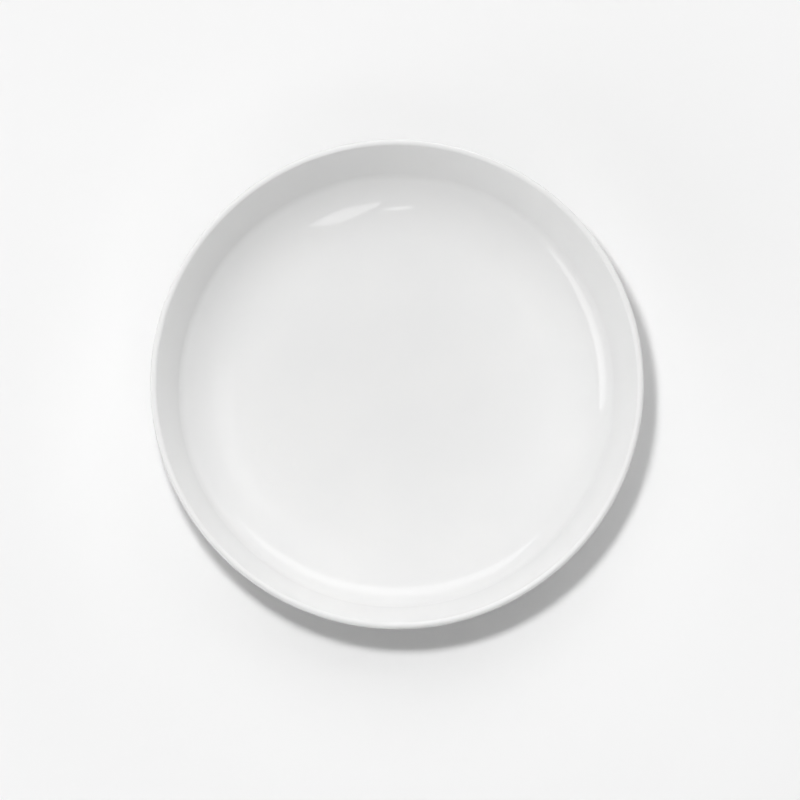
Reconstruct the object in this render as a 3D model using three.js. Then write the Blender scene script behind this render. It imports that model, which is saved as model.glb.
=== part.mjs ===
// A round deep plate of white porcelain: a flat well, a wide inside curve that tightens into a steep
// wall, and a half-round lip.
// It is one fired clay body on a bare foot ring, with a glass glaze fused to the rest of its skin.
// The foot ring is wiped bare before firing, which parts the glaze in two: a coat over the whole plate
// outside the ring, and a patch in the recess inside it.
// Millimetres and degrees, +Z up, with the origin on the table under the middle of the plate.
import * as THREE from "three";

// Rim and wall
const RIM_DIAMETER = 220;
const PLATE_HEIGHT = 48;
const LIP_THICKNESS = 3;
const WALL_LEAN = 17; // the inside of the wall, from upright
const WALL_FOOT_THICKNESS = 4.2; // across the wall, where the inside curve meets it

// Well
const FLOOR_THICKNESS = 4.4; // over the foot's recess
const INSIDE_CURVE_RADIUS = 37;
const INSIDE_CURVE_SLOPE = 44; // from level, where the inside curve ends under the wall
const INSIDE_ROUND = 12; // between the inside curve and the wall

// Underside
const UNDERSIDE_SLOPE = 3; // from level, rising outwards from the foot ring
const OUTSIDE_CURVE_RADIUS = 41;
const OUTSIDE_CURVE_SLOPE = 44; // from level, where the outside curve ends under the wall
const OUTSIDE_ROUND = 16; // between the outside curve and the wall

// Foot ring
const FOOT_SETBACK = 44; // from the rim in to the middle of the standing face
const FOOT_WIDTH = 4.4;
const FOOT_HEIGHT = 2.2; // from the table to the underside outside the ring
const RECESS_DEPTH = 2; // from the table to the underside inside the ring
const FOOT_DRAFT = 18; // each side of the ring, from upright
const FOOT_ROOT_ROUND = 1.2;
const FOOT_EDGE_ROUND = 0.6;

// Glaze
const GLAZE_THICKNESS = 0.3;
const FUSED_LAYER = 0.02; // the part of that thickness where clay and glass melt into each other
const BARE_FOOT_HEIGHT = 0.8; // the glaze stops this far above the table

// Fineness of the surfaces
const FACETS_AROUND = 64;
const CURVE_STEPS = 8;
const ROUND_STEPS = 4;
const LIP_STEPS = 8;
const ROOT_STEPS = 3;
const EDGE_STEPS = 2;

const PORCELAIN_COLOUR = 0xeae6dd;
const GLAZE_COLOUR = 0xf1f1ef;

const radians = THREE.MathUtils.degToRad;
const point = (radius, height) => new THREE.Vector2(radius, height);
const angleOf = (direction) => Math.atan2(direction.y, direction.x);
const down = -Math.PI / 2;
const up = Math.PI / 2;

// The point that lies `distance` from `start`, with the angle measured from outwards towards up.
function step(start, angle, distance) {
  return point(start.x + distance * Math.cos(angle), start.y + distance * Math.sin(angle));
}

// Points on a circle's arc from one angle to another, both ends included.
function arc(centre, radius, from, to, steps) {
  const angle = (i) => from + ((to - from) * i) / steps;
  return Array.from({ length: steps + 1 }, (_, i) => step(centre, angle(i), radius));
}

// Where two lines cross, each given by a point and the angle of its direction.
function crossing(startA, angleA, startB, angleB) {
  const alongA = step(point(0, 0), angleA, 1);
  const alongB = step(point(0, 0), angleB, 1);
  const between = startB.clone().sub(startA);
  return step(startA, angleA, between.cross(alongB) / alongA.cross(alongB));
}

// The corner between two straight stretches as a tangent arc, no longer than the shorter stretch allows.
function roundCorner(before, corner, after, radius, steps) {
  const back = before.clone().sub(corner);
  const ahead = after.clone().sub(corner);
  const room = 0.9 * Math.min(back.length(), ahead.length());
  back.normalize();
  ahead.normalize();
  const half = Math.acos(back.dot(ahead)) / 2;
  const reach = Math.min(radius / Math.tan(half), room);
  const centre = back.clone().add(ahead).setLength(reach / Math.cos(half)).add(corner);
  const from = back.multiplyScalar(reach).add(corner).sub(centre);
  const to = ahead.multiplyScalar(reach).add(corner).sub(centre);
  const turn = Math.atan2(from.cross(to), from.dot(to));
  return arc(centre, from.length(), angleOf(from), angleOf(from) + turn, steps);
}

// The turn from a sloping bottom up into a leaning wall: a wide arc from the slope of the bottom to a
// steeper one, and a tighter round from there into the straight line through `wallTop`.
function bowlTurn(bottom, slope, radius, endSlope, round, wallTop, lean) {
  const toRound = step(point(0, 0), endSlope + down, radius - round);
  const lowCentre = step(bottom, slope + up, radius).add(toRound);
  const wallCentre = step(wallTop, Math.PI - lean, round);
  const roundCentre = crossing(lowCentre, slope, wallCentre, down - lean);
  const centre = roundCentre.clone().sub(toRound);
  const wide = arc(centre, radius, slope + down, endSlope + down, CURVE_STEPS);
  const tight = arc(roundCentre, round, endSlope + down, -lean, ROUND_STEPS);
  return [...wide, ...tight.slice(1)];
}

// An open outline moved sideways to its right by `depth`, or to its left if that is negative.
function shifted(outline, depth) {
  const last = outline.length - 1;
  const heading = (i) => outline[i + 1].clone().sub(outline[i]).normalize();
  return outline.map((here, i) => {
    const into = heading(Math.max(i - 1, 0));
    const onward = heading(Math.min(i, last - 1));
    const along = into.clone().add(onward).normalize();
    const move = depth / along.dot(into);
    return point(here.x + along.y * move, here.y - along.x * move);
  });
}

const wallLean = radians(WALL_LEAN);
const draft = radians(FOOT_DRAFT);
const undersideSlope = radians(UNDERSIDE_SLOPE);

// The inside, from the middle of the well to the lip
const wellMiddle = point(0, RECESS_DEPTH + FLOOR_THICKNESS);
const lipRound = LIP_THICKNESS / 2;
const lipCentre = point(RIM_DIAMETER / 2 - lipRound, PLATE_HEIGHT - lipRound);
const lipInside = step(lipCentre, Math.PI - wallLean, lipRound);
const insideTurn = bowlTurn(
  wellMiddle,
  0,
  INSIDE_CURVE_RADIUS,
  radians(INSIDE_CURVE_SLOPE),
  INSIDE_ROUND,
  lipInside,
  wallLean,
);

// The outside of the wall is a little more upright, so the wall thickens towards its foot.
const wallLength = insideTurn.at(-1).distanceTo(lipInside);
const outerLean = wallLean - Math.asin((WALL_FOOT_THICKNESS - LIP_THICKNESS) / wallLength);
const lipOutside = step(lipCentre, -outerLean, lipRound);

// The foot ring's two sides lean apart from the standing face up.
const footRadius = RIM_DIAMETER / 2 - FOOT_SETBACK;
const halfFoot = (height) => FOOT_WIDTH / 2 + height * Math.tan(draft);
const onOuterSide = (height) => point(footRadius + halfFoot(height), height);
const onInnerSide = (height) => point(footRadius - halfFoot(height), height);

// The outside, from the root of the foot ring up to the lip
const footRoot = onOuterSide(FOOT_HEIGHT);
const outsideTurn = bowlTurn(
  footRoot,
  undersideSlope,
  OUTSIDE_CURVE_RADIUS,
  radians(OUTSIDE_CURVE_SLOPE),
  OUTSIDE_ROUND,
  lipOutside,
  outerLean,
);

// The skin from the middle of the well over the lip and down to the glaze line outside the foot ring.
function plateSkin() {
  const lip = arc(lipCentre, lipRound, Math.PI - wallLean, -outerLean, LIP_STEPS);
  const glazeLine = onOuterSide(BARE_FOOT_HEIGHT);
  const root = roundCorner(outsideTurn[0], footRoot, glazeLine, FOOT_ROOT_ROUND, ROOT_STEPS);
  return [wellMiddle, ...insideTurn, ...lip, ...outsideTurn.toReversed(), ...root, glazeLine];
}

// The skin of the foot's recess, from its middle out to the glaze line inside the foot ring.
function recessSkin() {
  const middle = point(0, RECESS_DEPTH);
  const glazeLine = onInnerSide(BARE_FOOT_HEIGHT);
  const root = roundCorner(middle, onInnerSide(RECESS_DEPTH), glazeLine, FOOT_ROOT_ROUND, ROOT_STEPS);
  return [middle, ...root, glazeLine];
}

const plateOutline = plateSkin();
const recessOutline = recessSkin();
const clayUnderPlate = shifted(plateOutline, GLAZE_THICKNESS);
const clayOverRecess = shifted(recessOutline, -GLAZE_THICKNESS);

// The bare end of the foot ring, from the inner glaze line round the standing face to the outer one.
// The clay stands back from the skin by the thickness of the glaze.
function bareFoot(innerLine, outerLine) {
  const innerCorner = crossing(innerLine, down + draft, point(0, 0), 0);
  const outerCorner = crossing(outerLine, down - draft, point(0, 0), 0);
  return [
    ...roundCorner(innerLine, innerCorner, outerCorner, FOOT_EDGE_ROUND, EDGE_STEPS),
    ...roundCorner(innerCorner, outerCorner, outerLine, FOOT_EDGE_ROUND, EDGE_STEPS),
  ];
}

// A turned piece. Its outline runs anticlockwise from the axis back to the axis.
function turned(name, outline, color, roughness) {
  const geometry = new THREE.LatheGeometry(outline, FACETS_AROUND);
  const material = new THREE.MeshStandardMaterial({ color, roughness, metalness: 0 });
  const mesh = new THREE.Mesh(geometry, material);
  mesh.name = name;
  return mesh;
}

function porcelainBody() {
  const foot = bareFoot(clayOverRecess.at(-1), clayUnderPlate.at(-1));
  const outline = [...clayOverRecess, ...foot, ...clayUnderPlate.toReversed()];
  return turned("porcelain_body", outline, PORCELAIN_COLOUR, 0.75);
}

function glazeCoat() {
  const back = shifted(plateOutline, GLAZE_THICKNESS - FUSED_LAYER);
  return turned("glaze_coat", [...back, ...plateOutline.toReversed()], GLAZE_COLOUR, 0.08);
}

function footRecessGlaze() {
  const back = shifted(recessOutline, FUSED_LAYER - GLAZE_THICKNESS);
  return turned("foot_recess_glaze", [...recessOutline, ...back.toReversed()], GLAZE_COLOUR, 0.08);
}

// The outlines are turned about Y, and the group stands that axis up along +Z.
const plate = new THREE.Group();
plate.name = "deep_plate";
plate.rotation.x = Math.PI / 2;
plate.add(porcelainBody(), glazeCoat(), footRecessGlaze());

export default plate;
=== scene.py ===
"""A round deep plate of white glazed porcelain on a pale table, seen from above.

The plate is turned, so each of its pieces is an outline that is spun about the plate's upright axis:
the fired clay body with its bare foot ring, the glaze over the plate, and the glaze in the foot's recess.
Metres and +Z up, with the origin on the table under the middle of the plate.
"""

import cmath
import logging
import math
from abc import ABC, abstractmethod
from dataclasses import dataclass, field
from enum import Enum
from functools import cached_property
from typing import Any

import bpy
from mathutils import Matrix, Vector


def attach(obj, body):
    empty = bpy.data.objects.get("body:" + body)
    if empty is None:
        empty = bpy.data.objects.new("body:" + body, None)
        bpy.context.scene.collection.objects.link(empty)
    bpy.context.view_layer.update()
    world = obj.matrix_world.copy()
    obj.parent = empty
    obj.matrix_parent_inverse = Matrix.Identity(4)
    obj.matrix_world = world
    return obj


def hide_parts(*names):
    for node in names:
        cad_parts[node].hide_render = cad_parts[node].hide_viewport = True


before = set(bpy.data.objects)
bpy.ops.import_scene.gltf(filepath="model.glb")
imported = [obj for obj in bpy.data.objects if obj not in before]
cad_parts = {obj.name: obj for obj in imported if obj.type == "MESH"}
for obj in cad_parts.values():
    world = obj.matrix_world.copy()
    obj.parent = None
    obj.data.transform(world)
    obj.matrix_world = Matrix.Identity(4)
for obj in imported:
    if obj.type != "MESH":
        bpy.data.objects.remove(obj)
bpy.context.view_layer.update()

LOG = logging.getLogger("deep_plate")

DOWN = -math.pi / 2
UP = math.pi / 2

COSINE_CUBED = -1.5  # as a power of 1 plus the squared tangent

Span = tuple[float, float]
Point2 = tuple[float, float]
Point3 = tuple[float, float, float]
Colour = tuple[float, float, float]
Socket = bpy.types.NodeSocket


class Body(Enum):
    """The bodies that pieces ride on."""

    ROOT = "root"


class CadNode(Enum):
    """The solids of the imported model."""

    PORCELAIN_BODY = "porcelain_body"
    GLAZE_COAT = "glaze_coat"
    FOOT_RECESS_GLAZE = "foot_recess_glaze"


class Slot(Enum):
    """The record's material slots."""

    BARE_PORCELAIN = "bare_porcelain"
    CLEAR_GLAZE = "clear_glaze"


# The section of the plate. A point of it is a complex number: its radius, and its height times 1j.


def step(start: complex, angle: float, distance: float) -> complex:
    """Gives the point at a distance from another one, with the angle measured from outwards towards up."""
    return start + cmath.rect(distance, angle)


def cross(a: complex, b: complex) -> float:
    """Gives the cross product of two directions."""
    return (a.conjugate() * b).imag


def crossing(start_a: complex, angle_a: float, start_b: complex, angle_b: float) -> complex:
    """Finds where two lines cross.

    Args:
        start_a: A point on the first line.
        angle_a: The first line's direction.
        start_b: A point on the second line.
        angle_b: The second line's direction.

    Returns:
        The point that both lines pass through.
    """
    along_a = cmath.rect(1, angle_a)
    along_b = cmath.rect(1, angle_b)
    return start_a + along_a * cross(start_b - start_a, along_b) / cross(along_a, along_b)


@dataclass(frozen=True)
class Bend:
    """An arc of the section. It can also be drawn at a depth under the skin.

    Attributes:
        centre: The arc's centre.
        radius: The arc's radius on the skin.
        start: The direction from the centre to the first point.
        end: The direction from the centre to the last point.
        hollow: Whether the centre lies in the air, so that the arc grows with depth.
    """

    centre: complex
    radius: float
    start: float
    end: float
    hollow: bool

    def backwards(self) -> "Bend":
        """Gives the same arc, drawn from its end."""
        return Bend(self.centre, self.radius, self.end, self.start, self.hollow)

    def points(self, depth: float, pitch: float) -> list[complex]:
        """Draws the arc.

        Args:
            depth: How far under the skin.
            pitch: The widest angle from one point to the next.

        Returns:
            The points, both ends included.
        """
        radius = self.radius + depth if self.hollow else self.radius - depth
        turn = self.end - self.start
        steps = math.ceil(abs(turn) / pitch)
        return [step(self.centre, self.start + turn * i / steps, radius) for i in range(steps + 1)]


def corner_bend(before: complex, corner: complex, after: complex, radius: float, hollow: bool) -> Bend:
    """Rounds a corner of the section with an arc that touches both of its sides.

    Args:
        before: A point on the side that leads to the corner.
        corner: The corner.
        after: A point on the side that leads away from it.
        radius: The arc's radius.
        hollow: Whether the arc's centre lies in the air.

    Returns:
        The arc.
    """
    back = (before - corner) / abs(before - corner)
    ahead = (after - corner) / abs(after - corner)
    half = math.acos((back.conjugate() * ahead).real) / 2
    centre = corner + (back + ahead) / abs(back + ahead) * radius / math.sin(half)
    first = corner + back * radius / math.tan(half) - centre
    last = corner + ahead * radius / math.tan(half) - centre
    start = cmath.phase(first)
    return Bend(centre, radius, start, start + cmath.phase(last / first), hollow)


@dataclass(frozen=True)
class Section:
    """The sizes of the turned plate, and the outline of its skin.

    Angles of the wall and of the foot ring's sides are measured from upright, and slopes from level.

    Attributes:
        rim_diameter: The width of the plate.
        plate_height: The height of the plate.
        lip_thickness: The thickness of the half-round lip.
        wall_lean: The lean of the wall's inside.
        wall_foot_thickness: The thickness of the wall where the inside curve meets it.
        floor_thickness: The thickness of the floor over the foot's recess.
        inside_curve_radius: The radius of the curve from the floor of the well upwards.
        inside_curve_slope: The slope at which that curve ends.
        inside_round: The radius of the round from there into the wall.
        underside_slope: The slope of the underside outside the foot ring.
        outside_curve_radius: The radius of the curve from the underside upwards.
        outside_curve_slope: The slope at which that curve ends.
        outside_round: The radius of the round from there into the wall.
        foot_setback: How far the middle of the standing face lies in from the rim.
        foot_width: The width of the standing face.
        foot_height: The height of the underside outside the foot ring.
        recess_depth: The height of the underside inside the foot ring.
        foot_draft: The lean of the foot ring's sides.
        foot_root_round: The radius where the foot ring meets the underside.
        foot_edge_round: The radius of the standing face's edges.
        bare_foot_height: The height at which the glaze stops on the foot ring.
        glaze_thickness: How far the clay stands back from the skin.
        fused_layer: The part of that in which clay and glaze melt into each other.
        wide_pitch: The widest angle from one point to the next on the bowl's curves.
        tight_pitch: The widest angle from one point to the next on the lip and the foot ring.
    """

    rim_diameter: float = 0.220
    plate_height: float = 0.048
    lip_thickness: float = 0.003
    wall_lean: float = math.radians(17)
    wall_foot_thickness: float = 0.0042
    floor_thickness: float = 0.0044
    inside_curve_radius: float = 0.037
    inside_curve_slope: float = math.radians(44)
    inside_round: float = 0.012
    underside_slope: float = math.radians(3)
    outside_curve_radius: float = 0.041
    outside_curve_slope: float = math.radians(44)
    outside_round: float = 0.016
    foot_setback: float = 0.044
    foot_width: float = 0.0044
    foot_height: float = 0.0022
    recess_depth: float = 0.0020
    foot_draft: float = math.radians(18)
    foot_root_round: float = 0.0012
    foot_edge_round: float = 0.0006
    bare_foot_height: float = 0.0008
    glaze_thickness: float = 0.0003
    fused_layer: float = 0.00002
    wide_pitch: float = math.radians(2.5)
    tight_pitch: float = math.radians(10)

    @cached_property
    def well_middle(self) -> complex:
        """The middle of the well's floor."""
        return complex(0, self.recess_depth + self.floor_thickness)

    @cached_property
    def lip_centre(self) -> complex:
        """The centre of the half-round lip."""
        return complex(self.rim_diameter, 2 * self.plate_height) / 2 - self.lip_round * (1 + 1j)

    @property
    def lip_round(self) -> float:
        """The radius of the half-round lip."""
        return self.lip_thickness / 2

    def bowl_turn(
        self,
        bottom: complex,
        slope: float,
        wide: float,
        end_slope: float,
        tight: float,
        lean: float,
        hollow: bool,
    ) -> tuple[Bend, Bend]:
        """Leads a sloping bottom up into the wall.

        Args:
            bottom: A point of the bottom's straight stretch.
            slope: The slope of that stretch.
            wide: The radius of the curve that follows it.
            end_slope: The slope at which that curve ends.
            tight: The radius of the round from there into the wall.
            lean: The wall's lean on this side of it.
            hollow: Whether this is the inside of the plate.

        Returns:
            The wide curve and the tight round.
        """
        to_round = cmath.rect(wide - tight, end_slope + DOWN)
        side = math.pi - lean if hollow else -lean
        wall_top = step(self.lip_centre, side, self.lip_round)
        wall_centre = step(wall_top, math.pi - lean, tight)
        low_centre = step(bottom, slope + UP, wide) + to_round
        round_centre = crossing(low_centre, slope, wall_centre, DOWN - lean)
        return (
            Bend(round_centre - to_round, wide, slope + DOWN, end_slope + DOWN, hollow),
            Bend(round_centre, tight, end_slope + DOWN, -lean, hollow),
        )

    @cached_property
    def inside(self) -> tuple[Bend, Bend]:
        """The inside curve and the round above it."""
        return self.bowl_turn(
            self.well_middle,
            0,
            self.inside_curve_radius,
            self.inside_curve_slope,
            self.inside_round,
            self.wall_lean,
            hollow=True,
        )

    @cached_property
    def outer_lean(self) -> float:
        """The lean of the wall's outside, which is a little more upright than its inside."""
        inside_round = self.inside[1]
        wall_foot = step(inside_round.centre, inside_round.end, inside_round.radius)
        wall_length = abs(step(self.lip_centre, math.pi - self.wall_lean, self.lip_round) - wall_foot)
        return self.wall_lean - math.asin((self.wall_foot_thickness - self.lip_thickness) / wall_length)

    @cached_property
    def lip(self) -> Bend:
        """The half-round lip, from the inside of the wall over to its outside."""
        inner_end = math.pi - self.wall_lean
        return Bend(self.lip_centre, self.lip_round, inner_end, -self.outer_lean, hollow=False)

    @cached_property
    def outside(self) -> tuple[Bend, Bend]:
        """The outside curve and the round above it."""
        return self.bowl_turn(
            self.on_foot(self.foot_height, outer=True),
            self.underside_slope,
            self.outside_curve_radius,
            self.outside_curve_slope,
            self.outside_round,
            self.outer_lean,
            hollow=False,
        )

    def on_foot(self, height: float, outer: bool) -> complex:
        """Gives a point on a side of the foot ring.

        Args:
            height: The point's height over the table.
            outer: Whether it is the ring's outer side.

        Returns:
            The point on the skin.
        """
        half = self.foot_width / 2 + height * math.tan(self.foot_draft)
        middle = self.rim_diameter / 2 - self.foot_setback
        return complex(middle + half if outer else middle - half, height)

    def glaze_line(self, depth: float, outer: bool) -> complex:
        """Gives the point where the glaze ends on a side of the foot ring.

        Args:
            depth: How far under the skin.
            outer: Whether it is the ring's outer side.

        Returns:
            The point.
        """
        into_clay = math.pi - self.foot_draft if outer else self.foot_draft
        return step(self.on_foot(self.bare_foot_height, outer), into_clay, depth)

    def foot_root(self, outer: bool) -> Bend:
        """Gives the round where a side of the foot ring meets the underside.

        Args:
            outer: Whether it is the ring's outer side.

        Returns:
            The round, drawn towards the foot ring.
        """
        height = self.foot_height if outer else self.recess_depth
        corner = self.on_foot(height, outer)
        inwards = complex(0, height)
        before = step(corner, self.underside_slope, self.foot_width) if outer else inwards
        return corner_bend(before, corner, self.glaze_line(0, outer), self.foot_root_round, hollow=True)

    def skin(self, depth: float) -> list[complex]:
        """Draws the plate's skin from the middle of the well over the lip to the outer glaze line.

        Args:
            depth: How far under the skin.

        Returns:
            The points.
        """
        inside_curve, inside_round = self.inside
        outside_curve, outside_round = self.outside
        return [
            self.well_middle - 1j * depth,
            *inside_curve.points(depth, self.wide_pitch),
            *inside_round.points(depth, self.wide_pitch)[1:],
            *self.lip.points(depth, self.tight_pitch),
            *outside_round.backwards().points(depth, self.wide_pitch),
            *outside_curve.backwards().points(depth, self.wide_pitch)[1:],
            *self.foot_root(outer=True).points(depth, self.tight_pitch),
            self.glaze_line(depth, outer=True),
        ]

    def recess(self, depth: float) -> list[complex]:
        """Draws the skin of the foot's recess, from its middle to the inner glaze line.

        Args:
            depth: How far under the skin.

        Returns:
            The points.
        """
        return [
            complex(0, self.recess_depth + depth),
            *self.foot_root(outer=False).points(depth, self.tight_pitch),
            self.glaze_line(depth, outer=False),
        ]

    def bare_foot(self, depth: float) -> list[complex]:
        """Draws the bare end of the foot ring, from the inner glaze line to the outer one.

        Args:
            depth: How far the ring's sides stand back from the skin.

        Returns:
            The points between the two glaze lines.
        """
        inner = self.glaze_line(depth, outer=False)
        outer = self.glaze_line(depth, outer=True)
        inner_corner = crossing(inner, DOWN + self.foot_draft, 0, 0)
        outer_corner = crossing(outer, DOWN - self.foot_draft, 0, 0)
        edges = (
            corner_bend(inner, inner_corner, outer_corner, self.foot_edge_round, hollow=False),
            corner_bend(inner_corner, outer_corner, outer, self.foot_edge_round, hollow=False),
        )
        return [point for edge in edges for point in edge.points(0, self.tight_pitch)]


@dataclass(frozen=True)
class Lathe:
    """Turns outlines into meshes.

    Attributes:
        facets: The number of facets around a piece.
        merge_distance: Points that are closer than this become one.
        sharp_angle: Edges that turn more than this stay sharp.
    """

    facets: int = 192
    merge_distance: float = 1e-6
    sharp_angle: float = math.radians(40)

    def turn(self, name: str, outline: list[complex]) -> bpy.types.Object:
        """Draws an outline edge by edge and spins it about the plate's axis.

        Args:
            name: The piece's name.
            outline: The points of the outline, from the axis back to the axis.

        Returns:
            The closed piece, with its place in its mesh.
        """
        bpy.ops.object.select_all(action="DESELECT")
        bpy.ops.mesh.primitive_plane_add(size=self.merge_distance)
        piece = bpy.context.active_object
        piece.name = piece.data.name = name
        bpy.ops.object.mode_set(mode="EDIT")
        bpy.ops.mesh.select_all(action="SELECT")
        bpy.ops.mesh.merge(type="CENTER")
        bpy.ops.transform.translate(value=(outline[0].real, 0, outline[0].imag))
        for here, there in zip(outline, outline[1:]):
            move = there - here
            bpy.ops.mesh.extrude_vertices_move(TRANSFORM_OT_translate={"value": (move.real, 0, move.imag)})
        bpy.ops.mesh.select_all(action="SELECT")
        bpy.ops.mesh.spin(steps=self.facets, angle=math.tau, center=(0, 0, 0), axis=(0, 0, 1))
        bpy.ops.mesh.select_all(action="SELECT")
        bpy.ops.mesh.remove_doubles(threshold=self.merge_distance)
        bpy.ops.mesh.normals_make_consistent(inside=False)
        bpy.ops.object.mode_set(mode="OBJECT")
        bpy.ops.object.shade_smooth_by_angle(angle=self.sharp_angle)
        return piece


@dataclass(frozen=True)
class Grain:
    """The patches of a noise.

    Attributes:
        size: The size of the patches.
        detail: How many finer noises they hold.
        span: The stretch of the noise from outside a patch to the middle of it.
    """

    size: float
    detail: float
    span: Span = (0.3, 0.7)


class NodeBench:
    """The node tree of a material, lamp or world, with short calls to add nodes and join them."""

    def __init__(self, owner: bpy.types.Material | bpy.types.Light | bpy.types.World) -> None:
        """Opens the node tree of an owner.

        Args:
            owner: What the nodes belong to.
        """
        owner.use_nodes = True
        self.tree = owner.node_tree

    def first(self, kind: str) -> bpy.types.Node:
        """Gives the first node of a kind."""
        return next(node for node in self.tree.nodes if node.type == kind)

    def add(self, kind: str, inputs: dict[str | int, Any], **settings: Any) -> bpy.types.Node:
        """Adds a node.

        Args:
            kind: The node's class.
            inputs: What each of its sockets holds, a value or another node's output.
            **settings: The node's own settings.

        Returns:
            The node.
        """
        node = self.tree.nodes.new(kind)
        for name, value in settings.items():
            setattr(node, name, value)
        self.feed(node, inputs)
        return node

    def feed(self, node: bpy.types.Node, inputs: dict[str | int, Any]) -> None:
        """Fills a node's sockets.

        Args:
            node: The node.
            inputs: What each socket holds, a value or another node's output.
        """
        for key, value in inputs.items():
            if isinstance(value, Socket):
                self.tree.links.new(value, node.inputs[key])
            else:
                node.inputs[key].default_value = value

    def place(self) -> Socket:
        """Gives the place on the object."""
        return self.add("ShaderNodeTexCoord", {}).outputs["Object"]

    def height(self, place: Socket) -> Socket:
        """Gives the height of a place."""
        return self.add("ShaderNodeSeparateXYZ", {"Vector": place}).outputs["Z"]

    def noise(self, place: Socket, grain: Grain) -> Socket:
        """Adds a noise.

        Args:
            place: Where it is read.
            grain: Its patches.

        Returns:
            The noise, from 0 to 1.
        """
        inputs = {"Vector": place, "Scale": 1 / grain.size, "Detail": grain.detail}
        return self.add("ShaderNodeTexNoise", inputs).outputs["Fac"]

    def patches(self, place: Socket, grain: Grain, ends: Span) -> Socket:
        """Adds a value that changes in patches.

        Args:
            place: Where the patches are read.
            grain: The patches.
            ends: The value outside a patch and in the middle of it.

        Returns:
            The value.
        """
        return self.between(self.noise(place, grain), *grain.span, ends)

    def reckon(self, operation: str, *values: Any) -> Socket:
        """Reckons with numbers.

        Args:
            operation: The name of the operation.
            *values: What it works on, numbers or other nodes' outputs.

        Returns:
            The outcome.
        """
        return self.add("ShaderNodeMath", dict(enumerate(values)), operation=operation).outputs["Value"]

    def between(self, value: Socket, low: float, high: float, ends: Span) -> Socket:
        """Maps a stretch of a value smoothly to another stretch.

        Args:
            value: The value.
            low: Where the stretch begins.
            high: Where it ends.
            ends: What the value becomes at both ends and beyond.

        Returns:
            The mapped value.
        """
        inputs = {"Value": value, "From Min": low, "From Max": high, "To Min": ends[0], "To Max": ends[1]}
        return self.add("ShaderNodeMapRange", inputs, interpolation_type="SMOOTHSTEP").outputs["Result"]

    def blend(self, share: Socket, a: Socket | Colour, b: Colour) -> Socket:
        """Mixes two colours.

        Args:
            share: The share of the second colour.
            a: The first colour.
            b: The second colour.

        Returns:
            The mixed colour.
        """
        node = self.add("ShaderNodeMix", {}, data_type="RGBA")
        index = {socket.identifier: i for i, socket in enumerate(node.inputs)}
        first = a if isinstance(a, Socket) else (*a, 1)
        self.feed(node, {index["Factor_Float"]: share, index["A_Color"]: first, index["B_Color"]: (*b, 1)})
        return next(socket for socket in node.outputs if socket.identifier == "Result_Color")

    def bump(self, height: Socket, depth: float, under: Socket | None = None) -> Socket:
        """Adds a relief.

        Args:
            height: The relief, from 0 to 1.
            depth: What a height of 1 measures, in metres.
            under: The normals that the relief lies on, if it isn't the bare surface.

        Returns:
            The normals.
        """
        inputs = {"Height": height, "Distance": depth, "Strength": 1.0}
        if under is not None:
            inputs["Normal"] = under
        return self.add("ShaderNodeBump", inputs).outputs["Normal"]


class Finish(ABC):
    """The look of a surface."""

    @abstractmethod
    def material(self) -> bpy.types.Material:
        """Makes the material."""


@dataclass(frozen=True)
class GlazeFinish(Finish):
    """A white gloss glaze: even, with faint clouds in it and the slight ripple of fired glass.

    Attributes:
        colour: Its colour.
        cloud_colour: Its colour in the clouds.
        clouds: The clouds.
        lip_colour: Its colour on the lip.
        lip_heights: The heights between which it takes on that colour.
        gloss: The patches in which its gloss changes.
        roughness: Its roughness where it is glossiest and where it is least glossy.
        ripple: The ripple of its surface.
        ripple_depth: The depth of the ripple.
        peel: The fine dimples of its surface.
        peel_depth: The depth of the dimples.
        ior: Its index of refraction.
    """

    colour: Colour = (0.835, 0.835, 0.832)
    cloud_colour: Colour = (0.822, 0.823, 0.822)
    clouds: Grain = Grain(0.045, 3, (0.35, 0.65))
    lip_colour: Colour = (0.81, 0.81, 0.807)
    lip_heights: Span = (0.0462, 0.0478)
    gloss: Grain = Grain(0.018, 4)
    roughness: Span = (0.02, 0.045)
    ripple: Grain = Grain(0.024, 1)
    ripple_depth: float = 0.00003
    peel: Grain = Grain(0.0016, 2)
    peel_depth: float = 0.0000012
    ior: float = 1.5

    def material(self) -> bpy.types.Material:
        """Makes the material."""
        material = bpy.data.materials.new("white_gloss_glaze")
        bench = NodeBench(material)
        place = bench.place()
        colour = bench.blend(bench.patches(place, self.clouds, (0, 1)), self.colour, self.cloud_colour)
        lip = bench.between(bench.height(place), *self.lip_heights, (0, 1))
        ripple = bench.bump(bench.noise(place, self.ripple), self.ripple_depth)
        bench.feed(
            bench.first("BSDF_PRINCIPLED"),
            {
                "Base Color": bench.blend(lip, colour, self.lip_colour),
                "Roughness": bench.patches(place, self.gloss, self.roughness),
                "IOR": self.ior,
                "Normal": bench.bump(bench.noise(place, self.peel), self.peel_depth, ripple),
            },
        )
        return material


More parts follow.
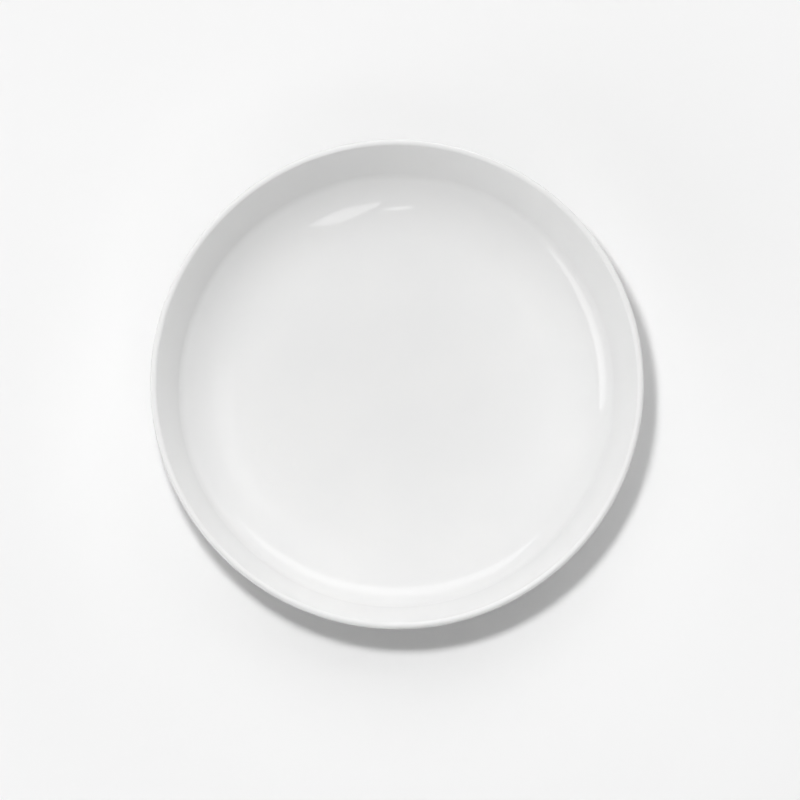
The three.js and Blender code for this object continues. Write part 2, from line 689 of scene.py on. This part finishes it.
@dataclass(frozen=True)
class BareClayFinish(Finish):
    """Unglazed white porcelain: matte, with a fine grain and a faint grey rub on the standing face.

    Attributes:
        colour: Its colour.
        warm_colour: Its colour in the clouds.
        clouds: The clouds.
        rub_colour: The colour of the rub.
        rub: The patches of the rub.
        rub_share: The most that the rub covers of the colour under it.
        rub_height: How far up from the table the rub reaches.
        grain: The grain of the clay.
        grain_depth: The depth of the grain.
        roughness: Its roughness in the hollows and on the tops of the grain.
    """

    colour: Colour = (0.80, 0.775, 0.725)
    warm_colour: Colour = (0.76, 0.725, 0.665)
    clouds: Grain = Grain(0.012, 4, (0.35, 0.7))
    rub_colour: Colour = (0.60, 0.585, 0.56)
    rub: Grain = Grain(0.0035, 5, (0.48, 0.72))
    rub_share: float = 0.7
    rub_height: float = 0.00035
    grain: Grain = Grain(0.00028, 3)
    grain_depth: float = 0.00002
    roughness: Span = (0.62, 0.85)

    def material(self) -> bpy.types.Material:
        """Makes the material."""
        material = bpy.data.materials.new("bare_porcelain")
        bench = NodeBench(material)
        place = bench.place()
        colour = bench.blend(bench.patches(place, self.clouds, (0, 1)), self.colour, self.warm_colour)
        worn = bench.between(bench.height(place), 0, self.rub_height, (1, 0))
        rub = bench.reckon("MULTIPLY", worn, bench.patches(place, self.rub, (0, self.rub_share)))
        grain = bench.noise(place, self.grain)
        bench.feed(
            bench.first("BSDF_PRINCIPLED"),
            {
                "Base Color": bench.blend(rub, colour, self.rub_colour),
                "Roughness": bench.between(grain, *self.grain.span, self.roughness),
                "Normal": bench.bump(grain, self.grain_depth),
            },
        )
        return material


@dataclass(frozen=True)
class TurnedPiece(ABC):
    """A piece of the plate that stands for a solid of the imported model.

    Attributes:
        section: The sizes of the plate.
        finish: The look of the piece.
        lathe: What turns it.
    """

    section: Section
    finish: Finish
    lathe: Lathe = field(default_factory=Lathe)

    @property
    @abstractmethod
    def node(self) -> CadNode:
        """The solid that the piece stands for."""

    @property
    @abstractmethod
    def slot(self) -> Slot:
        """The record's material slot that matches the piece; the piece's finish is given apart from it."""

    @abstractmethod
    def outline(self) -> list[complex]:
        """Draws the piece's outline, from the axis back to the axis."""

    def build(self) -> bpy.types.Object:
        """Turns the piece."""
        return self.lathe.turn(f"turned_{self.node.value}", self.outline())

    def dress(self, piece: bpy.types.Object) -> None:
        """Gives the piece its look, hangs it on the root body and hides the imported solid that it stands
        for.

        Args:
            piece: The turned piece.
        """
        piece.data.materials.append(self.finish.material())
        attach(piece, Body.ROOT.value)
        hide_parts(self.node.value)
        self.slot.value


@dataclass(frozen=True)
class PorcelainBody(TurnedPiece):
    """The fired clay, which stands back from the skin by the glaze. Only its foot ring's end shows."""

    node = CadNode.PORCELAIN_BODY
    slot = Slot.BARE_PORCELAIN

    def outline(self) -> list[complex]:
        """Draws the outline through the recess, round the foot ring, over the lip and into the well."""
        depth = self.section.glaze_thickness
        return [
            *self.section.recess(depth),
            *self.section.bare_foot(depth),
            *reversed(self.section.skin(depth)),
        ]


@dataclass(frozen=True)
class GlazeCoat(TurnedPiece):
    """The glaze over the well, the wall, the lip and the outside, down to the foot ring.

    Attributes:
        bead_pitch: The widest angle from one point to the next on the round bead in which it ends.
    """

    bead_pitch: float = math.radians(30)
    node = CadNode.GLAZE_COAT
    slot = Slot.CLEAR_GLAZE

    @property
    def thickness(self) -> float:
        """The thickness of the clear glaze, without the layer in which it melts into the clay."""
        return self.section.glaze_thickness - self.section.fused_layer

    def bead(self, outer: bool) -> list[complex]:
        """Draws the bead in which the glaze ends on a side of the foot ring.

        Args:
            outer: Whether it is the ring's outer side.

        Returns:
            The points between the two faces of the glaze.
        """
        draft = self.section.foot_draft
        ends = (-draft, -draft - math.pi) if outer else (draft - math.pi, draft)
        middle = self.section.glaze_line(self.thickness / 2, outer)
        return Bend(middle, self.thickness / 2, *ends, hollow=False).points(0, self.bead_pitch)[1:-1]

    def outline(self) -> list[complex]:
        """Draws the outline along the skin and back along the clay."""
        return [
            *self.section.skin(0),
            *self.bead(outer=True),
            *reversed(self.section.skin(self.thickness)),
        ]


@dataclass(frozen=True)
class FootRecessGlaze(GlazeCoat):
    """The glaze in the recess inside the foot ring."""

    node = CadNode.FOOT_RECESS_GLAZE

    def outline(self) -> list[complex]:
        """Draws the outline along the recess's skin and back along the clay."""
        return [
            *self.section.recess(0),
            *self.bead(outer=False),
            *reversed(self.section.recess(self.thickness)),
        ]


@dataclass(frozen=True)
class KeyLamp:
    """The lamp that casts the plate's shadow. It is too small to show as a reflection.

    Attributes:
        place: Where it hangs.
        radius: The radius of its globe.
        power: Its power in watts.
    """

    place: Point3 = (-0.094, 0.051, 0.884)
    radius: float = 0.038
    power: float = 15.9

    @property
    def level(self) -> float:
        """How strong its light is on the table right under it, where 1 shows a colour as it is written."""
        return self.power / (2 * math.pi * self.place[2]) ** 2

    def hang(self) -> bpy.types.Object:
        """Hangs the lamp."""
        light = bpy.data.lights.new("key_lamp", "POINT")
        light.shadow_soft_size = self.radius
        light.energy = self.power
        lamp = bpy.data.objects.new(light.name, light)
        lamp.location = self.place
        lamp.visible_glossy = False
        bpy.context.scene.collection.objects.link(lamp)
        return lamp


def hang_panel(name: str, place: Vector, turn: Matrix, size: Point2, radiance: float) -> bpy.types.Object:
    """Hangs a flat rectangular light that doesn't show to the camera.

    Args:
        name: The light's name.
        place: The middle of its face.
        turn: How it is turned from shining down.
        size: Its width and height.
        radiance: How bright its face looks, where 1 is white.

    Returns:
        The light.
    """
    light = bpy.data.lights.new(name, "AREA")
    light.shape = "RECTANGLE"
    light.size, light.size_y = size
    light.energy = math.pi * radiance * light.size * light.size_y
    panel = bpy.data.objects.new(name, light)
    panel.matrix_world = Matrix.Translation(place) @ turn.to_4x4()
    panel.visible_camera = False
    bpy.context.scene.collection.objects.link(panel)
    return panel


class Side(Enum):
    """Where a soft light hangs: the axis that its face is square to, and its place along that axis."""

    LEFT = (0, -2.4)
    BACK = (1, 4.8)
    CEILING = (2, 2.6)

    def corner(self, across: Point2) -> Vector:
        """Gives a corner's place from its coordinates along the other two axes."""
        axis, away = self.value
        return Vector((*across[:axis], away, *across[axis:]))

    @property
    def shines(self) -> Vector:
        """The direction back into the room."""
        return -self.corner((0, 0)).normalized()


@dataclass(frozen=True)
class SoftBox:
    """A flat light behind a diffuser, whose face has straight edges.

    Attributes:
        name: The light's name.
        side: Where it hangs.
        corners: The corners of its face in turn, each with its coordinates along the other two axes.
        radiance: How bright its face looks, where 1 is white.
        feather: How far in from its edges it fades.
    """

    name: str
    side: Side
    corners: tuple[Point2, ...]
    radiance: float
    feather: float = 0.04

    def hang(self) -> bpy.types.Object:
        """Hangs the light, with its face cut to shape."""
        turn = self.side.shines.to_track_quat("-Z", "Y").to_matrix()
        flat = [turn.transposed() @ self.side.corner(corner) for corner in self.corners]
        low = Vector(min(point[i] for point in flat) for i in range(3))
        high = Vector(max(point[i] for point in flat) for i in range(3))
        size = (high.x - low.x, high.y - low.y)
        lamp = hang_panel(self.name, turn @ ((low + high) / 2), turn, size, self.radiance)
        self.cut(lamp.data, [complex(point.x - low.x, point.y - low.y) for point in flat])
        return lamp

    def cut(self, light: bpy.types.AreaLight, outline: list[complex]) -> None:
        """Cuts the light's face to its outline.

        Args:
            light: The light.
            outline: The corners in turn, measured from the lower left corner of the light's box.
        """
        bench = NodeBench(light)
        spot = bench.add("ShaderNodeNewGeometry", {}).outputs["Parametric"]
        around = sum(cross(a, b) for a, b in zip(outline, outline[1:] + outline[:1]))
        lit: Socket | None = None
        for here, there in zip(outline, outline[1:] + outline[:1]):
            inwards = (there - here) / abs(there - here) * (1j if around > 0 else -1j)
            across = (inwards.real * light.size, inwards.imag * light.size_y, 0)
            reach = bench.add("ShaderNodeVectorMath", {0: spot, 1: across}, operation="DOT_PRODUCT")
            edge = (here.conjugate() * inwards).real
            inside = bench.between(reach.outputs["Value"], edge, edge + self.feather, (0, 1))
            lit = inside if lit is None else bench.reckon("MULTIPLY", lit, inside)
        bench.feed(bench.first("EMISSION"), {"Strength": lit})


@dataclass(frozen=True)
class BounceBoard:
    """A large matt board that throws light back at the plate, too dull to show as a reflection.

    Attributes:
        name: The board's name.
        place: The middle of its face, which looks at the plate.
        width: Its width.
        height: Its height.
        radiance: How bright its face looks, where 1 is white.
    """

    name: str
    place: Point3
    width: float
    height: float
    radiance: float

    def hang(self) -> bpy.types.Object:
        """Hangs the board."""
        turn = (-Vector(self.place)).to_track_quat("-Z", "Y").to_matrix()
        board = hang_panel(self.name, Vector(self.place), turn, (self.width, self.height), self.radiance)
        board.visible_glossy = False
        return board


@dataclass(frozen=True)
class RoomLight:
    """The even light of the room, and the pale backdrop that stands low around the table.

    The backdrop shows to the camera and in what mirrors it or is clear, and throws no light of its own.

    Attributes:
        radiance: How bright the room is, where 1 is white.
        backdrop: How bright the backdrop looks, where 1 is white.
        full: The angle over the table's level up to which it is that bright.
        top: The angle at which it has faded into the room.
    """

    radiance: float = 0.04
    backdrop: float = 0.9
    full: float = math.radians(5)
    top: float = math.radians(9)

    def fill(self) -> None:
        """Fills the room."""
        world = bpy.data.worlds.new("pale_room")
        bench = NodeBench(world)
        room = bench.first("BACKGROUND")
        bench.feed(room, {"Color": (1, 1, 1, 1), "Strength": self.radiance})
        backdrop = bench.add("ShaderNodeBackground", {"Color": (1, 1, 1, 1), "Strength": self.backdrop})
        looks = {0: self.shown(bench), 1: room.outputs[0], 2: backdrop.outputs[0]}
        both = bench.add("ShaderNodeMixShader", looks)
        bench.feed(bench.first("OUTPUT_WORLD"), {"Surface": both.outputs[0]})
        bpy.context.scene.world = world

    def shown(self, bench: NodeBench) -> Socket:
        """Gives how much of the backdrop a ray meets.

        Args:
            bench: The bench of the world.

        Returns:
            The share, from 0 to 1.
        """
        heading = bench.add("ShaderNodeTexCoord", {}).outputs["Generated"]
        low = bench.between(bench.height(heading), math.sin(self.full), math.sin(self.top), (1, 0))
        rays = bench.add("ShaderNodeLightPath", {}).outputs
        mirrored = bench.reckon("MAXIMUM", rays["Is Glossy Ray"], rays["Is Transmission Ray"])
        return bench.reckon("MULTIPLY", low, bench.reckon("MAXIMUM", rays["Is Camera Ray"], mirrored))


@dataclass(frozen=True)
class Table:
    """The pale table. Its colour makes up for the uneven light on it, so that it looks even.

    The key lamp's light falls off, and the plate keeps light from the table in front of it and throws some
    on the table behind it.

    Attributes:
        lamp: The key lamp.
        rim: The radius of the plate's rim.
        fill: How strong all other light is on it, where 1 shows a colour as it is written.
        look: How bright it looks, where 1 is white.
        palest: The palest that its colour gets.
        front: The level direction in which the plate keeps most light from it.
        lean: How much paler its colour is for that at the rim, as a share.
        fade: The power of the distance with which that fades out from the rim.
        width: Its width.
    """

    lamp: KeyLamp
    rim: float
    fill: float = 0.55
    look: float = 0.94
    palest: float = 0.97
    front: Point3 = (0.09, -0.996, 0.0)
    lean: float = 0.16
    fade: float = 4.0
    width: float = 8.0

    def colour(self, bench: NodeBench) -> Socket:
        """Gives the table's colour, which gets paler away from the key lamp and in front of the plate.

        Args:
            bench: The bench of the table's material.

        Returns:
            The colour.
        """
        x, y, height = self.lamp.place
        spot = bench.place()
        away = bench.add("ShaderNodeVectorMath", {0: spot, 1: (x, y, 0)}, operation="DISTANCE")
        tangent = bench.reckon("DIVIDE", away.outputs["Value"], height)
        dimmed = bench.reckon("POWER", bench.reckon("MULTIPLY_ADD", tangent, tangent, 1), COSINE_CUBED)
        light = bench.reckon("MULTIPLY_ADD", dimmed, self.lamp.level, self.fill)
        even = bench.reckon("DIVIDE", self.look, light)
        leaning = bench.reckon("MULTIPLY", even, self.leaning(bench, spot))
        return bench.reckon("MINIMUM", leaning, self.palest)

    def leaning(self, bench: NodeBench, spot: Socket) -> Socket:
        """Gives the factor by which the colour gets paler in front of the plate and darker behind it.

        Args:
            bench: The bench of the table's material.
            spot: The place on the table.

        Returns:
            The factor, which goes back to 1 away from the plate.
        """
        ahead = bench.add("ShaderNodeVectorMath", {0: spot, 1: self.front}, operation="DOT_PRODUCT")
        out = bench.add("ShaderNodeVectorMath", {0: spot}, operation="LENGTH")
        near = bench.reckon("DIVIDE", self.rim, bench.reckon("MAXIMUM", out.outputs["Value"], self.rim))
        faded = bench.reckon("POWER", near, self.fade + 1)
        fading = bench.reckon("MULTIPLY", ahead.outputs["Value"], faded)
        return bench.reckon("MULTIPLY_ADD", fading, self.lean / self.rim, 1)

    def lay(self) -> bpy.types.Object:
        """Lays the table under the plate."""
        bpy.ops.object.select_all(action="DESELECT")
        bpy.ops.mesh.primitive_plane_add(size=self.width)
        table = bpy.context.active_object
        table.name = table.data.name = "table"
        material = bpy.data.materials.new("pale_table")
        bench = NodeBench(material)
        look = {"Base Color": self.colour(bench), "Roughness": 1.0, "Specular IOR Level": 0.0}
        bench.feed(bench.first("BSDF_PRINCIPLED"), look)
        table.data.materials.append(material)
        return table


@dataclass(frozen=True)
class PhotoCamera:
    """The camera above the plate, a little in front of it.

    Attributes:
        place: Where it stands.
        aim: What it looks at.
        lens: Its focal length in millimetres.
        sensor: The width of its square picture in millimetres.
        nearest: The nearest that it sees.
    """

    place: Point3 = (-0.0160, -0.1479, 1.2373)
    aim: Point3 = (0.00119, -0.00821, 0.0465)
    lens: float = 121.14
    sensor: float = 36.0
    nearest: float = 0.01

    def stand(self) -> bpy.types.Object:
        """Sets the camera up, with +Y towards the top of its picture."""
        data = bpy.data.cameras.new("photo_camera")
        data.lens = self.lens
        data.sensor_width = self.sensor
        data.clip_start = self.nearest
        back = (Vector(self.place) - Vector(self.aim)).normalized()
        right = Vector((0, 1, 0)).cross(back).normalized()
        turn = Matrix((right, back.cross(right), back)).transposed()
        camera = bpy.data.objects.new(data.name, data)
        camera.matrix_world = Matrix.Translation(self.place) @ turn.to_4x4()
        scene = bpy.context.scene
        scene.collection.objects.link(camera)
        scene.camera = camera
        scene.view_settings.view_transform = "Standard"
        return camera


def soft_boxes() -> tuple[SoftBox, ...]:
    """Gives the soft lights that the glaze mirrors."""
    back_window = ((-4.11, 1.95), (-1.80, 0.40), (2.20, 0.40), (5.70, 2.28), (-4.11, 2.14))
    left_strip = ((-2.10, 0.97), (-1.30, 0.20), (0.55, 0.20), (0.55, 0.94))
    front_pane = (
        (1.29, -1.91),
        (1.15, -2.30),
        (0.85, -2.58),
        (0.29, -2.66),
        (0.29, -2.05),
        (0.51, -1.20),
        (0.68, -1.26),
    )
    front_slat = (
        (0.21, -1.60),
        (0.19, -1.90),
        (-0.20, -2.26),
        (-0.21, -2.00),
        (-0.10, -1.74),
        (0.05, -1.61),
    )
    right_box = ((0.44, 0.17), (2.07, 0.11), (2.15, 1.58), (1.63, 1.79), (0.62, 1.02))
    return (
        SoftBox("back_window", Side.BACK, back_window, radiance=1.78),
        SoftBox("left_strip", Side.LEFT, left_strip, radiance=2.3),
        SoftBox("front_pane", Side.CEILING, front_pane, radiance=2.3),
        SoftBox("front_slat", Side.CEILING, front_slat, radiance=2.5),
        SoftBox("right_box", Side.CEILING, right_box, radiance=0.58),
    )


def bounce_boards() -> tuple[BounceBoard, ...]:
    """Gives the boards that fill the key lamp's shadows."""
    return (
        BounceBoard("back_board", (0.0, 3.20, 4.60), 6.4, 4.0, radiance=1.37),
        BounceBoard("right_board", (2.50, 0.70, 0.76), 2.0, 1.2, radiance=1.28),
        BounceBoard("front_board", (-1.70, -1.90, 1.50), 2.4, 1.6, radiance=1.05),
        BounceBoard("left_board", (-2.00, 1.70, 0.80), 1.8, 1.0, radiance=0.47),
    )


def main() -> None:
    """Builds the plate piece by piece, then the table, the lights and the camera."""
    logging.basicConfig(level=logging.INFO, format="%(name)s: %(message)s")
    section = Section()
    glaze = GlazeFinish()
    for part in (
        PorcelainBody(section, BareClayFinish()),
        GlazeCoat(section, glaze),
        FootRecessGlaze(section, glaze),
    ):
        piece = part.build()
        part.dress(piece)
        LOG.info("%s has %d faces", piece.name, len(piece.data.polygons))
    key = KeyLamp()
    Table(key, section.rim_diameter / 2).lay()
    key.hang()
    for lamp in (*soft_boxes(), *bounce_boards()):
        lamp.hang()
    RoomLight().fill()
    PhotoCamera().stand()


if __name__ == "__main__":
    main()
